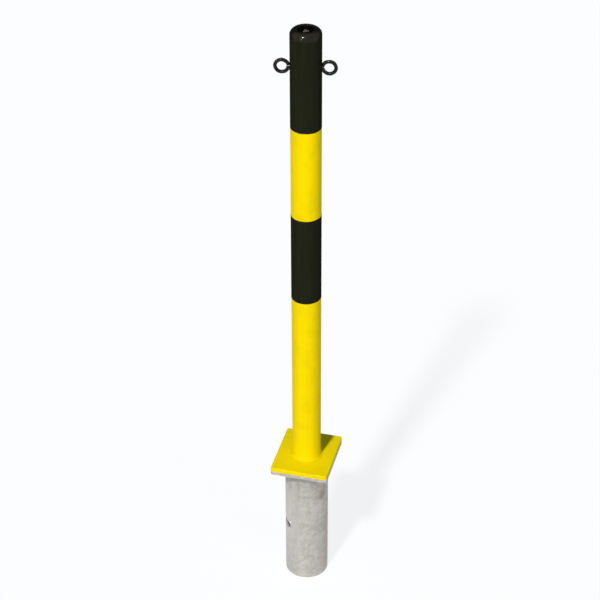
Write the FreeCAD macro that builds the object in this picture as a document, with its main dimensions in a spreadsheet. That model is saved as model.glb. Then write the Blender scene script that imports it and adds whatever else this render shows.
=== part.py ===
"""A removable bollard: a banded steel post with chain eyes that locks into a ground socket.

The post is a tube welded through a thick base plate. Its lower end, the spigot, goes down through
a plain flange into a sleeve that is set in the ground, where a ring centres its foot. A triangular
stud in the head turns a long rod in the post, and a finger on that rod, the latch tongue, turns
under the flange. With the finger over the notch in the flange the post lifts out.

All sizes are in millimetres. Z is up, the socket stands on z = 0 and the post's axis is the Z axis.
"""
import FreeCAD, Part
import os

import Sketcher

# Driving dimensions: name, value and meaning. Everything else follows from them.
SIZES = (
    ("post_diameter", 60.3, "outside diameter of the post's tube"),
    ("post_wall", 2.9, "wall of the post's tube"),
    ("post_height", 1000, "top of the base plate to the top of the head"),
    ("spigot_length", 140, "tube below the base plate"),
    ("lower_yellow_height", 405, "base plate to the lower black band"),
    ("lower_black_height", 195, "height of the lower black band"),
    ("upper_yellow_height", 195, "yellow between the two black bands"),
    ("coat_thickness", 0.3, "thickness of the black coats"),
    ("coat_gap", 0.05, "clearance under and around the black coats"),
    ("base_plate_thickness", 10, "thickness of the yellow plate"),
    ("base_plate_edge_round", 1.2, "round along the yellow plate's upper edges"),
    ("base_weld_leg", 6.5, "leg of the fillet weld at the post's foot"),
    ("plate_overhang_x", 15, "how far both plates stand out past the sleeve, along X"),
    ("plate_overhang_y", 24, "how far both plates stand out past the sleeve, along Y"),
    ("plate_corner_round", 4, "radius of both plates' corners"),
    ("flange_thickness", 8, "thickness of the socket's plate"),
    ("flange_edge_round", 1, "round along the socket plate's lower edges"),
    ("spigot_clearance", 0.85, "radial clearance round the spigot in the flange and guide ring"),
    ("sleeve_gap", 11.85, "radial space between the spigot and the sleeve's bore"),
    ("sleeve_wall", 4, "wall of the sleeve"),
    ("sleeve_length", 302, "length of the sleeve below the flange"),
    ("socket_weld_leg", 5, "leg of the fillet weld under the flange"),
    ("socket_weld_bite", 1, "how far the sleeve's upper end is bevelled for that weld"),
    ("anchor_hole_diameter", 18, "holes for an anchor rod, right through the sleeve"),
    ("anchor_hole_drop", 166, "flange's underside down to the anchor holes' axis"),
    ("anchor_hole_azimuth", 40, "direction of the anchor holes' axis, from X"),
    ("guide_ring_height", 12, "height of the ring inside the sleeve"),
    ("guide_ring_chamfer", 3, "lead-in chamfer on the guide ring's bore"),
    ("spigot_overrun", 5, "how far the spigot reaches below the guide ring"),
    ("fixed_fit", 0.1, "radial gap of pieces that are welded inside or onto one another"),
    ("head_crown", 2, "rise of the head from its shoulder to the key well's rim"),
    ("head_shoulder_radius", 11, "round of the head's shoulder"),
    ("head_land", 1, "straight side of the head below its shoulder"),
    ("head_neck_length", 12, "part of the head that sits inside the tube"),
    ("key_well_diameter", 32, "bore of the head, where the key goes in"),
    ("key_well_rim_round", 1, "round of the key well's rim"),
    ("spindle_bush_thickness", 12, "thickness of the key well's floor"),
    ("foot_bush_thickness", 14, "thickness of the plug in the spigot's foot"),
    ("running_clearance", 0.05, "radial clearance of the turning rod and stud in their bushes"),
    ("rod_diameter", 12, "diameter of the lock rod"),
    ("rod_overrun", 3, "how far the rod reaches below the foot bush"),
    ("rod_socket_depth", 30, "depth of the stud's blind bore that takes the rod"),
    ("key_side", 14, "side of the triangular stud"),
    ("key_corner_round", 1.2, "round of the triangle's corners"),
    ("key_top_chamfer", 0.5, "chamfer round the stud's top"),
    ("key_sink", 4, "how far the stud's top lies below the key well's rim"),
    ("key_azimuth", 24.5, "turn of the triangle's corner from Y, with the lock open"),
    ("stud_shoulder_diameter", 24, "round shoulder under the triangle"),
    ("stud_shoulder_height", 4, "height of that shoulder"),
    ("stud_shank_diameter", 20, "shank that turns in the spindle bush"),
    ("stud_shank_tail", 3, "shank below the stop collar"),
    ("thrust_gap", 0.3, "axial play of the stud on the spindle bush"),
    ("stop_collar_diameter", 32, "collar on the shank below the spindle bush"),
    ("stop_collar_height", 14, "height of that collar"),
    ("cross_pin_diameter", 5, "pins through the collar and the tongue's hub"),
    ("pin_fit", 0.05, "radial gap of the cross pins, and of the rod in what it carries"),
    ("latch_thickness", 10, "thickness of the tongue's finger"),
    ("latch_width", 16, "width of the tongue's finger"),
    ("latch_gap", 2, "space between the flange and the tongue below it"),
    ("latch_end_clearance", 4.5, "tongue's tip to the sleeve's bore"),
    ("latch_hub_diameter", 26, "hub of the tongue"),
    ("latch_hub_tail", 14, "hub below the finger, which takes the pin"),
    ("latch_turn", 90, "turn of the lock between open and locked"),
    ("notch_clearance", 2, "space round the finger in the flange's notch"),
    ("window_clearance", 1, "space round the finger in the tube's window"),
    ("eye_drop", 79, "top of the head down to the middle of the chain eyes"),
    ("eye_azimuth", 8.8, "turn of the chain eyes from X"),
    ("eye_wire_diameter", 7, "wire of the chain eyes"),
    ("eye_opening", 17.8, "inside diameter of the chain eyes"),
    ("eye_gap", 0.2, "space between an eye's wire and the post's black coat"),
    ("eye_sink", 1.6, "how far an eye is set back past that gap, its wire ground to the post's round"),
    ("eye_lower_end", 4, "angle of the eye's welded end, below the line to the post"),
    ("eye_upper_end", 9, "angle of the eye's free end, above the line to the post"),
    ("eye_weld_width", 5.2, "half width of the bead that holds an eye"),
    ("eye_weld_reach", 4, "reach of that bead from its middle, away from the post"),
    ("eye_weld_drop", 2.5, "middle of that bead below the middle of the eye"),
    ("eye_weld_seat", 1.2, "middle of that bead outside the tube's surface"),
)

# Radii, heights and angles that pieces share, each from the sizes and the places above it.
PLACES = (
    ("post_radius", "sizes.post_diameter / 2"),
    ("tube_bore", "post_radius - sizes.post_wall"),
    ("in_tube", "tube_bore - sizes.fixed_fit"),
    ("coat_inside", "post_radius + sizes.coat_gap"),
    ("coat_outside", "coat_inside + sizes.coat_thickness"),
    ("spigot_hole", "post_radius + sizes.spigot_clearance"),
    ("sleeve_bore", "post_radius + sizes.sleeve_gap"),
    ("sleeve_radius", "sleeve_bore + sizes.sleeve_wall"),
    ("plate_half_x", "sleeve_radius + sizes.plate_overhang_x"),
    ("plate_half_y", "sleeve_radius + sizes.plate_overhang_y"),
    ("flange_bottom", "sizes.sleeve_length"),
    ("flange_top", "flange_bottom + sizes.flange_thickness"),
    ("plate_top", "flange_top + sizes.base_plate_thickness"),
    ("spigot_foot", "flange_top - sizes.spigot_length"),
    ("anchor_height", "flange_bottom - sizes.anchor_hole_drop"),
    ("lower_band_foot", "plate_top + sizes.lower_yellow_height"),
    ("lower_band_top", "lower_band_foot + sizes.lower_black_height"),
    ("upper_band_foot", "lower_band_top + sizes.upper_yellow_height"),
    ("post_top", "plate_top + sizes.post_height"),
    ("shoulder_top", "post_top - sizes.head_crown"),
    ("tube_top", "shoulder_top - sizes.head_shoulder_radius - sizes.head_land"),
    ("well_floor", "tube_top - sizes.head_neck_length"),
    ("well_radius", "sizes.key_well_diameter / 2"),
    ("bush_bottom", "well_floor - sizes.spindle_bush_thickness"),
    ("collar_top", "bush_bottom - sizes.thrust_gap"),
    ("collar_bottom", "collar_top - sizes.stop_collar_height"),
    ("collar_middle", "collar_bottom + sizes.stop_collar_height / 2"),
    ("collar_radius", "sizes.stop_collar_diameter / 2"),
    ("stud_bottom", "collar_bottom - sizes.stud_shank_tail"),
    ("stud_seat", "well_floor + sizes.thrust_gap"),
    ("key_foot", "stud_seat + sizes.stud_shoulder_height"),
    ("key_top", "post_top - sizes.key_sink"),
    ("key_corner", "sizes.key_side / sqrt(3)"),
    ("shank_radius", "sizes.stud_shank_diameter / 2"),
    ("rod_radius", "sizes.rod_diameter / 2"),
    ("rod_hole", "rod_radius + sizes.pin_fit"),
    ("rod_bearing", "rod_radius + sizes.running_clearance"),
    ("rod_top", "stud_bottom + sizes.rod_socket_depth"),
    ("rod_bottom", "spigot_foot - sizes.rod_overrun"),
    ("pin_radius", "sizes.cross_pin_diameter / 2"),
    ("pin_hole", "pin_radius + sizes.pin_fit"),
    ("latch_top", "flange_bottom - sizes.latch_gap"),
    ("finger_bottom", "latch_top - sizes.latch_thickness"),
    ("finger_half", "sizes.latch_width / 2"),
    ("latch_reach", "sleeve_bore - sizes.latch_end_clearance"),
    ("hub_bottom", "finger_bottom - sizes.latch_hub_tail"),
    ("hub_pin", "hub_bottom + sizes.latch_hub_tail / 2"),
    ("hub_radius", "sizes.latch_hub_diameter / 2"),
    ("notch_half", "finger_half + sizes.notch_clearance"),
    ("notch_end", "latch_reach + sizes.notch_clearance"),
    ("window_margin", "asin((finger_half + sizes.window_clearance) / tube_bore) / 1deg"),
    ("eye_wire", "sizes.eye_wire_diameter / 2"),
    ("eye_radius", "sizes.eye_opening / 2 + eye_wire"),
    ("eye_clear", "coat_outside + sizes.eye_gap"),
    ("eye_reach", "eye_clear + eye_wire + eye_radius - sizes.eye_sink"),
    ("eye_level", "post_top - sizes.eye_drop"),
    ("eye_weld_middle", "post_radius + sizes.eye_weld_seat"),
    ("eye_weld_level", "eye_level - sizes.eye_weld_drop"),
)

START, END, CENTRE = range(1, 4)  # the points of a sketched line or circle
ORIGIN = (-1, 1)  # a sketch's own origin, as a constraint names it
Z_AXIS = FreeCAD.Vector(0, 0, 1)
FULL_TURN = 360
TOLERANCE = 1e-6


def fill_sheets(doc):
    """Writes the driving dimensions, and the places that follow from them, into two sheets."""
    sizes = doc.addObject("Spreadsheet::Sheet", "sizes")
    for row, (alias, size, meaning) in enumerate(SIZES, 1):
        sizes.set(f"A{row}", meaning)
        sizes.set(f"B{row}", str(size))
        sizes.setAlias(f"B{row}", alias)
    doc.recompute()
    places = doc.addObject("Spreadsheet::Sheet", "places")
    for row, (alias, formula) in enumerate(PLACES, 1):
        places.setAlias(f"B{row}", alias)
        places.set(f"B{row}", "=" + formula)
    doc.recompute()


def number(obj, expression):
    """The plain number that an expression has in the object's document."""
    found = obj.evalExpression(expression)
    return float(getattr(found, "Value", found))


def body_sketch(body, role, name):
    """A sketch on one of the body's own origin planes."""
    sketch = body.newObject("Sketcher::SketchObject", name)
    plane = next(feature for feature in body.Origin.OriginFeatures if feature.Role == role)
    sketch.AttachmentSupport = [(plane, "")]
    sketch.MapMode = "FlatFace"
    return sketch


def bind(sketch, expression, kind, *where):
    """Adds a dimension to a sketch and binds it to an expression."""
    index = sketch.addConstraint(Sketcher.Constraint(kind, *where, number(sketch, expression)))
    sketch.setExpression(f"Constraints[{index}]", expression)


def hold_point(sketch, geometry, end, x, y):
    """Holds one point of a sketch at the expressions x and y, measured from the origin."""
    bind(sketch, x, "DistanceX", *ORIGIN, geometry, end)
    bind(sketch, y, "DistanceY", *ORIGIN, geometry, end)


def draw_outline(sketch, corners):
    """Draws a closed outline of straight lines, its corners given as pairs of expressions."""
    points = [FreeCAD.Vector(number(sketch, x), number(sketch, y), 0) for x, y in corners]
    lines = range(len(points))
    for line in lines:
        sketch.addGeometry(Part.LineSegment(points[line - 1], points[line]), False)
    for line in lines:
        before = (line - 1) % len(points)
        sketch.addConstraint(Sketcher.Constraint("Coincident", before, END, line, START))
    for line, (x, y) in enumerate(corners):
        hold_point(sketch, line, END, x, y)


def draw_circle(sketch, x, y, radius):
    """Draws a circle, its centre and radius given as expressions."""
    centre = FreeCAD.Vector(number(sketch, x), number(sketch, y), 0)
    circle = sketch.addGeometry(Part.Circle(centre, Z_AXIS, number(sketch, radius)), False)
    bind(sketch, radius, "Radius", circle)
    hold_point(sketch, circle, CENTRE, x, y)


def turned(doc, name, profile):
    """A piece turned about Z, from a closed half profile of (radius, height) expressions."""
    body = doc.addObject("PartDesign::Body", name)
    sketch = body_sketch(body, "XZ_Plane", name + "_profile")
    draw_outline(sketch, profile)
    turn = body.newObject("PartDesign::Revolution", name + "_turn")
    turn.Profile = sketch
    turn.ReferenceAxis = (sketch, ["V_Axis"])
    turn.Angle = FULL_TURN
    doc.recompute()
    return body


def ring(doc, name, inside, outside, bottom, top):
    """A plain turned ring or tube."""
    return turned(doc, name, ((inside, bottom), (outside, bottom), (outside, top), (inside, top)))


def pad(body, name, sketch, height):
    """Raises a sketch into a solid."""
    feature = body.newObject("PartDesign::Pad", name)
    feature.Profile = sketch
    feature.setExpression("Length", height)
    body.Document.recompute()
    return feature


def cut_through(body, name, sketch):
    """Cuts a sketch right through its body, to both sides of the sketch's plane."""
    pocket = body.newObject("PartDesign::Pocket", name)
    pocket.Profile = sketch
    pocket.Type = "ThroughAll"
    pocket.Midplane = True
    body.Document.recompute()
    return pocket


def through_hole(body, name, role, x, y, radius):
    """Drills a round hole right through a body, square to one of its origin planes."""
    sketch = body_sketch(body, role, name + "_circle")
    draw_circle(sketch, x, y, radius)
    return cut_through(body, name, sketch)


def dress(body, kind, name, edges, size_name, size):
    """Rounds or chamfers named edges of a body's last feature."""
    base = body.Tip
    feature = body.newObject("PartDesign::" + kind, name)
    feature.Base = (base, edges)
    feature.setExpression(size_name, size)
    body.Document.recompute()
    return feature


def round_edges(body, name, edges, radius):
    """Rounds named edges of a body's last feature."""
    return dress(body, "Fillet", name, edges, "Radius", radius)


def edges_of(shape, wanted):
    """Names of the shape's edges that pass a test."""
    return [f"Edge{index}" for index, edge in enumerate(shape.Edges, 1) if wanted(edge)]


def spans(edge, bottom, top):
    """Whether an edge reaches from one height to another."""
    box = edge.BoundBox
    return abs(box.ZMin - bottom) < TOLERANCE and abs(box.ZMax - top) < TOLERANCE


def rim(shape, radius, height):
    """Names of the circular edges with that radius at that height."""
    return edges_of(
        shape,
        lambda edge: spans(edge, height, height)
        and abs(getattr(edge.Curve, "Radius", 0) - radius) < TOLERANCE,
    )


def face_border(shape, height):
    """Names of the edges round the outside of the level face at that height."""
    face = next(f for f in shape.Faces if all(spans(edge, height, height) for edge in f.Edges))
    return edges_of(shape, lambda edge: any(edge.isSame(other) for other in face.OuterWire.Edges))


def plate(doc, name, thickness, hole):
    """A plate with rounded corners and a round hole in the middle, standing on its own z = 0."""
    body = doc.addObject("PartDesign::Body", name)
    sketch = body_sketch(body, "XY_Plane", name + "_outline")
    x, y = "places.plate_half_x", "places.plate_half_y"
    draw_outline(sketch, ((f"-{x}", f"-{y}"), (x, f"-{y}"), (x, y), (f"-{x}", y)))
    blank = pad(body, name + "_blank", sketch, thickness)
    upright = edges_of(blank.Shape, lambda edge: spans(edge, 0, number(body, thickness)))
    round_edges(body, name + "_corners", upright, "sizes.plate_corner_round")
    through_hole(body, name + "_hole", "XY_Plane", "0", "0", hole)
    return body


def place(obj, expression_of):
    """Binds parts of an object's placement to expressions, given by their names."""
    for part, expression in expression_of.items():
        obj.setExpression("Placement." + part, expression)
    return obj


def rise(obj, height):
    """Lifts a piece to its height on the post's axis."""
    return place(obj, {"Base.z": height})


def beside_post(obj, azimuth, reach, height, turn):
    """Puts an object beside the post in a given direction, after a turn of its own."""
    outward = f"{reach} * cos({azimuth}); {reach} * sin({azimuth})"
    facing = f"rotation(vector(0; 0; 1); {azimuth}) * {turn}"
    obj.setExpression("Placement", f"placement(vector({outward}; {height}); {facing})")
    return obj


def cut(doc, name, base, *tools):
    """Takes one or more tools away from a base, one after another."""
    for step, tool in enumerate(tools, 1):
        feature = doc.addObject("Part::Cut", name if step == len(tools) else f"{name}_step_{step}")
        feature.Base = base
        feature.Tool = tool
        base = feature
    return base


def socket_flange(doc):
    """The socket's plate, with the spigot's hole and the notch that lets the finger through."""
    body = plate(doc, "socket_flange", "sizes.flange_thickness", "places.spigot_hole")
    sketch = body_sketch(body, "XY_Plane", "notch_outline")
    side, end = "places.notch_half", "places.notch_end"
    draw_outline(sketch, ((f"-{side}", "0"), (side, "0"), (side, end), (f"-{side}", end)))
    cut_through(body, "notch", sketch)
    border = face_border(body.Tip.Shape, 0)
    round_edges(body, "flange_border", border, "sizes.flange_edge_round")
    return rise(body, "places.flange_bottom")


def socket_sleeve(doc):
    """The tube in the ground, bevelled for its weld, with a pair of holes for an anchor rod."""
    bore, outside, top = "places.sleeve_bore", "places.sleeve_radius", "sizes.sleeve_length"
    profile = (
        (bore, "0"),
        (outside, "0"),
        (outside, f"{top} - sizes.socket_weld_leg"),
        (f"{outside} - sizes.socket_weld_bite", top),
        (bore, top),
    )
    body = turned(doc, "socket_sleeve", profile)
    radius = "sizes.anchor_hole_diameter / 2"
    through_hole(body, "anchor_hole", "YZ_Plane", "0", "places.anchor_height", radius)
    return place(body, {"Rotation.Angle": "sizes.anchor_hole_azimuth * 1deg"})


def fillet_weld(doc, name, radius, leg, bite, height, side):
    """A fillet weld round a tube, on the upper (+1) or lower (-1) side of a plate's face.

    Where the tube's end is bevelled, the weld fills the bevel too, to the depth of its bite.
    """
    profile = ((f"{radius} - {bite}", "0"), (f"{radius} + {leg}", "0"), (radius, f"{side} * {leg}"))
    return rise(turned(doc, name, profile), height)


def guide_ring(doc):
    """The ring that centres the spigot's foot in the sleeve, chamfered on its upper bore."""
    inside, outside = "places.spigot_hole", "places.sleeve_bore - sizes.fixed_fit"
    top, chamfer = "sizes.guide_ring_height", "sizes.guide_ring_chamfer"
    profile = (
        (inside, "0"),
        (outside, "0"),
        (outside, top),
        (f"{inside} + {chamfer}", top),
        (inside, f"{top} - {chamfer}"),
    )
    return rise(turned(doc, "guide_ring", profile), "places.spigot_foot + sizes.spigot_overrun")


def base_plate(doc):
    """The thick yellow plate that carries the post."""
    thickness = "sizes.base_plate_thickness"
    body = plate(doc, "base_plate", thickness, "places.post_radius + sizes.fixed_fit")
    border = face_border(body.Tip.Shape, number(body, thickness))
    round_edges(body, "base_plate_border", border, "sizes.base_plate_edge_round")
    return rise(body, "places.flange_top")


def post_tube(doc):
    """The post's tube, with a window in its spigot for the finger's turn from Y towards -X."""
    bore, outside = "places.tube_bore", "places.post_radius"
    tube = ring(doc, "post_tube_blank", bore, outside, "places.spigot_foot", "places.tube_top")
    window = doc.addObject("Part::Cylinder", "latch_window")
    window.setExpression("Radius", "places.sleeve_bore")
    window.setExpression("Height", "sizes.latch_thickness + 2 * sizes.window_clearance")
    window.setExpression("Angle", "sizes.latch_turn + 2 * places.window_margin")
    place(
        window,
        {
            "Base.z": "places.finger_bottom - sizes.window_clearance",
            "Rotation.Angle": "(90 - places.window_margin) * 1deg",
        },
    )
    return cut(doc, "post_tube", tube, window)


def head_cap(doc):
    """The rounded head, bored through for the key, with a neck inside the tube."""
    neck, side, bore = "places.in_tube", "places.coat_outside", "places.well_radius"
    profile = (
        (bore, "places.well_floor"),
        (neck, "places.well_floor"),
        (neck, "places.tube_top"),
        (side, "places.tube_top"),
        (side, "places.shoulder_top"),
        (bore, "places.post_top"),
    )
    body = turned(doc, "head_cap", profile)
    shoulder = rim(body.Tip.Shape, number(body, side), number(body, "places.shoulder_top"))
    round_edges(body, "head_shoulder", shoulder, "sizes.head_shoulder_radius")
    mouth = rim(body.Tip.Shape, number(body, bore), number(body, "places.post_top"))
    round_edges(body, "key_well_rim", mouth, "sizes.key_well_rim_round")
    return body


def spindle_bush(doc):
    """The floor of the key well, in which the stud's shank turns."""
    bore, top = "places.shank_radius + sizes.running_clearance", "places.well_floor"
    return ring(doc, "spindle_bush", bore, "places.in_tube", "places.bush_bottom", top)


def foot_bush(doc):
    """The plug in the spigot's foot, in which the rod turns."""
    bottom = "places.spigot_foot"
    top = f"{bottom} + sizes.foot_bush_thickness"
    return ring(doc, "foot_bush", "places.rod_bearing", "places.in_tube", bottom, top)


def key_stud(doc):
    """The triangular stud with its shoulder, and the bored shank that takes the rod."""
    shank, shoulder, bore = "places.shank_radius", "sizes.stud_shoulder_diameter / 2", "places.rod_hole"
    bore_end = "places.rod_top + sizes.pin_fit"
    profile = (
        ("0", bore_end),
        (bore, bore_end),
        (bore, "places.stud_bottom"),
        (shank, "places.stud_bottom"),
        (shank, "places.stud_seat"),
        (shoulder, "places.stud_seat"),
        (shoulder, "places.key_foot"),
        ("0", "places.key_foot"),
    )
    body = turned(doc, "key_stud", profile)
    sketch = body_sketch(body, "XY_Plane", "triangle")
    sketch.setExpression("AttachmentOffset.Base.z", "places.key_foot")
    corners = []
    for corner in range(3):
        turn = f"(sizes.key_azimuth + {90 + corner * FULL_TURN // 3}) * 1deg"
        corners.append((f"places.key_corner * cos({turn})", f"places.key_corner * sin({turn})"))
    draw_outline(sketch, corners)
    prism = pad(body, "key_prism", sketch, "places.key_top - places.key_foot").Shape
    foot, top = number(body, "places.key_foot"), number(body, "places.key_top")
    upright = edges_of(prism, lambda edge: spans(edge, foot, top))
    round_edges(body, "key_corners", upright, "sizes.key_corner_round")
    around_top = edges_of(body.Tip.Shape, lambda edge: spans(edge, top, top))
    dress(body, "Chamfer", "key_top_edge", around_top, "Size", "sizes.key_top_chamfer")
    through_hole(body, "stud_pin_hole", "YZ_Plane", "0", "places.collar_middle", "places.pin_hole")
    return body


def stop_collar(doc):
    """The collar under the spindle bush that keeps the lock from being pulled up."""
    bore, outside = "places.shank_radius + sizes.pin_fit", "places.collar_radius"
    bottom, top = "places.collar_bottom", "places.collar_top"
    body = ring(doc, "stop_collar", bore, outside, bottom, top)
    through_hole(body, "collar_pin_hole", "YZ_Plane", "0", "places.collar_middle", "places.pin_hole")
    return body


def lock_rod(doc):
    """The long rod, drilled for both cross pins."""
    radius, bottom, top = "places.rod_radius", "places.rod_bottom", "places.rod_top"
    body = turned(doc, "lock_rod", (("0", bottom), (radius, bottom), (radius, top), ("0", top)))
    for end, height in (("upper", "places.collar_middle"), ("lower", "places.hub_pin")):
        through_hole(body, f"rod_{end}_hole", "YZ_Plane", "0", height, "places.pin_hole")
    return body


def latch_tongue(doc):
    """The finger that turns under the flange, on a hub that is pinned to the rod."""
    body = doc.addObject("PartDesign::Body", "latch_tongue")
    hub = body_sketch(body, "XY_Plane", "hub_circle")
    draw_circle(hub, "0", "0", "places.hub_radius")
    pad(body, "hub", hub, "sizes.latch_hub_tail + sizes.latch_thickness")
    finger = body_sketch(body, "XY_Plane", "finger_outline")
    finger.setExpression("AttachmentOffset.Base.z", "sizes.latch_hub_tail")
    side, tip = "places.finger_half", "places.latch_reach"
    draw_outline(finger, ((f"-{side}", "0"), (side, "0"), (side, tip), (f"-{side}", tip)))
    pad(body, "finger", finger, "sizes.latch_thickness")
    through_hole(body, "hub_bore", "XY_Plane", "0", "0", "places.rod_hole")
    through_hole(body, "hub_pin_hole", "YZ_Plane", "0", "sizes.latch_hub_tail / 2", "places.pin_hole")
    return rise(body, "places.hub_bottom")


def cross_pin(doc, name, half_length, height):
    """A pin across the rod, along X."""
    pin = doc.addObject("Part::Cylinder", name)
    pin.setExpression("Radius", "places.pin_radius")
    pin.setExpression("Height", f"2 * {half_length}")
    pin.Placement.Rotation = FreeCAD.Rotation(Z_AXIS, FreeCAD.Vector(1, 0, 0))
    return place(pin, {"Base.x": f"-{half_length}", "Base.z": height})


def chain_eye(doc, name, azimuth):
    """An open ring of round wire, upright and in line with the post's axis.

    Its welded end lies just below the line to the post, and the wire goes down, out, up and back. Next to
    the post the wire is ground to the post's round.
    """
    eye = doc.addObject("Part::Torus", name + "_blank")
    eye.setExpression("Radius1", "places.eye_radius")
    eye.setExpression("Radius2", "places.eye_wire")
    eye.setExpression("Angle3", f"{FULL_TURN} - sizes.eye_lower_end - sizes.eye_upper_end")
    upright = "rotation(vector(1; 0; 0); 90deg)"
    turn = f"{upright} * rotation(vector(0; 0; 1); (180 + sizes.eye_lower_end) * 1deg)"
    blank = beside_post(eye, azimuth, "places.eye_reach", "places.eye_level", turn)
    return cut(doc, name, blank, post_core(doc, name + "_core", "places.eye_clear"))


def post_core(doc, name, radius):
    """A cylinder as tall as the post, for taking the post's round off a piece at its side."""
    core = doc.addObject("Part::Cylinder", name)
    core.setExpression("Radius", radius)
    core.setExpression("Height", "places.post_top")
    return core


def eye_bead(doc, name, azimuth, growth):
    """The whole form of the bead that holds an eye, before the post and wire are taken off it."""
    bead = doc.addObject("Part::Ellipsoid", name)
    for radius, size in (("Radius1", "width"), ("Radius2", "reach"), ("Radius3", "width")):
        bead.setExpression(radius, f"sizes.eye_weld_{size} + {growth}")
    turn = "rotation(vector(0; 0; 1); 0deg)"
    return beside_post(bead, azimuth, "places.eye_weld_middle", "places.eye_weld_level", turn)


def eye_weld(doc, name, azimuth, eye):
    """The bead between the post and an eye's lower end."""
    core = post_core(doc, name + "_core", "places.post_radius")
    return cut(doc, name, eye_bead(doc, name + "_blank", azimuth, "0"), core, eye)


def black_band(doc, name, bottom, top):
    """A black coat round the post."""
    return ring(doc, name, "places.coat_inside", "places.coat_outside", bottom, top)


def post_pieces(doc):
    """The post's own pieces: tube, head, bushes, plate and weld, eyes and black coats."""
    weld = ("places.post_radius", "sizes.base_weld_leg", "0", "places.plate_top", 1)
    pieces = [base_plate(doc), fillet_weld(doc, "base_weld", *weld), post_tube(doc)]
    pieces += [head_cap(doc), spindle_bush(doc), foot_bush(doc)]
    bead_rooms = []
    for side, azimuth in (
        ("right", "(sizes.eye_azimuth * 1deg)"),
        ("left", "((sizes.eye_azimuth + 180) * 1deg)"),
    ):
        eye = chain_eye(doc, f"{side}_chain_eye", azimuth)
        pieces += [eye, eye_weld(doc, f"{side}_eye_weld", azimuth, eye)]
        bead_rooms.append(eye_bead(doc, f"{side}_bead_room", azimuth, "sizes.coat_gap"))
    coat = black_band(doc, "upper_band_blank", "places.upper_band_foot", "places.tube_top")
    pieces.append(cut(doc, "upper_black_band", coat, *bead_rooms))
    span = ("places.lower_band_foot", "places.lower_band_top")
    pieces.append(black_band(doc, "lower_black_band", *span))
    return pieces


def socket_pieces(doc):
    """The pieces that stay in the ground."""
    bevel = ("places.sleeve_radius", "sizes.socket_weld_leg", "sizes.socket_weld_bite")
    weld = fillet_weld(doc, "socket_weld", *bevel, "places.flange_bottom", -1)
    return [socket_flange(doc), socket_sleeve(doc), weld, guide_ring(doc)]


def lock_pieces(doc):
    """The pieces that turn with the key."""
    collar_pin = ("places.collar_radius", "places.collar_middle")
    tongue_pin = ("places.hub_radius", "places.hub_pin")
    pieces = [key_stud(doc), stop_collar(doc), cross_pin(doc, "collar_pin", *collar_pin)]
    return pieces + [lock_rod(doc), latch_tongue(doc), cross_pin(doc, "tongue_pin", *tongue_pin)]


def check(doc, pieces):
    """Stops if any object failed, or if a piece isn't one valid solid."""
    for obj in doc.Objects:
        if {"Invalid", "Error"} & set(obj.State):
            raise RuntimeError(f"{obj.Label} failed: {obj.State}")
    for piece in pieces:
        shape = piece.Shape
        if shape.isNull() or not shape.isValid() or len(shape.Solids) != 1:
            raise RuntimeError(f"{piece.Label} is not one valid solid")


def main():
    """Builds the bollard and writes each piece to its own file."""
    doc = FreeCAD.newDocument("removable_bollard")
    fill_sheets(doc)
    pieces = socket_pieces(doc) + post_pieces(doc) + lock_pieces(doc)
    doc.recompute()
    check(doc, pieces)
    os.makedirs("parts", exist_ok=True)
    for piece in pieces:
        piece.Shape.exportStep(f"parts/{piece.Label}.step")
        box = piece.Shape.BoundBox
        print(f"{piece.Label}: {piece.Shape.Volume:.0f} mm3, z {box.ZMin:.1f} to {box.ZMax:.1f}")
    print(len(pieces), "pieces")


main()
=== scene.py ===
"""Removable bollard: finishes, welds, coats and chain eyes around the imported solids, with light and camera.

Names that end in _mm are millimetres and names that end in _deg are degrees; what goes into Blender is in
metres. Z is up, the sleeve stands on the floor at z = 0 and the post's axis is the Z axis. Azimuths are
counted anticlockwise from X.
"""

import logging
from dataclasses import dataclass, field
from enum import Enum
from math import cos, pi, radians, sin

import bpy
import numpy as np
from mathutils import Matrix, Vector


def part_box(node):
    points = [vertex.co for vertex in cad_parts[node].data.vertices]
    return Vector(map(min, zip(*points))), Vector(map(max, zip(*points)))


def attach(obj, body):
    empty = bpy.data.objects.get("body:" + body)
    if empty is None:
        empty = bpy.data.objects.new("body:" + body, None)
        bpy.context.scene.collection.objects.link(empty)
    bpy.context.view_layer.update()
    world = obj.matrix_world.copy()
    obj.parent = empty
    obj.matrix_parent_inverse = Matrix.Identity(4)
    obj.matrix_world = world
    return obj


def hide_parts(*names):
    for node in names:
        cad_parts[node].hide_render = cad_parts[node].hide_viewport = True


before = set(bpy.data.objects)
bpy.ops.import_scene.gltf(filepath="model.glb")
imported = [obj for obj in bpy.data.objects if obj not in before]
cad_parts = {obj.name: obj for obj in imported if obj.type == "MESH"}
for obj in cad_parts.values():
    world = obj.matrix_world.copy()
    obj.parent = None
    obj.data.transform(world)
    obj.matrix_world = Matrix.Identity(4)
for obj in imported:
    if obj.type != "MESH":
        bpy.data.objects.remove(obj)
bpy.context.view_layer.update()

MM = 0.001
FULL_TURN = 2 * pi

# The Wave texture goes through this many radians over a length of 1 at a scale of 1.
WAVE_TEXTURE_TURN = 20

# An uneven line: its flattest wave beside its tallest, and what brings the sum to about -1 to 1.
FLATTEST_WAVE = 0.4
WAVE_GAIN = 1.6

# Shares of a mark's reach. The mottling is added to the distance before it is held against them.
MARK_CORE = 0.5
MARK_RIM = 1.5

log = logging.getLogger("bollard")


class Body(Enum):
    """The bodies that the new pieces move with."""

    SOCKET = "socket"
    POST = "post"


class Slot(Enum):
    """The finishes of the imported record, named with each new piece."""

    ZINC = "galvanised"
    YELLOW = "yellow_coat"
    BLACK = "black_coat"


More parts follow.
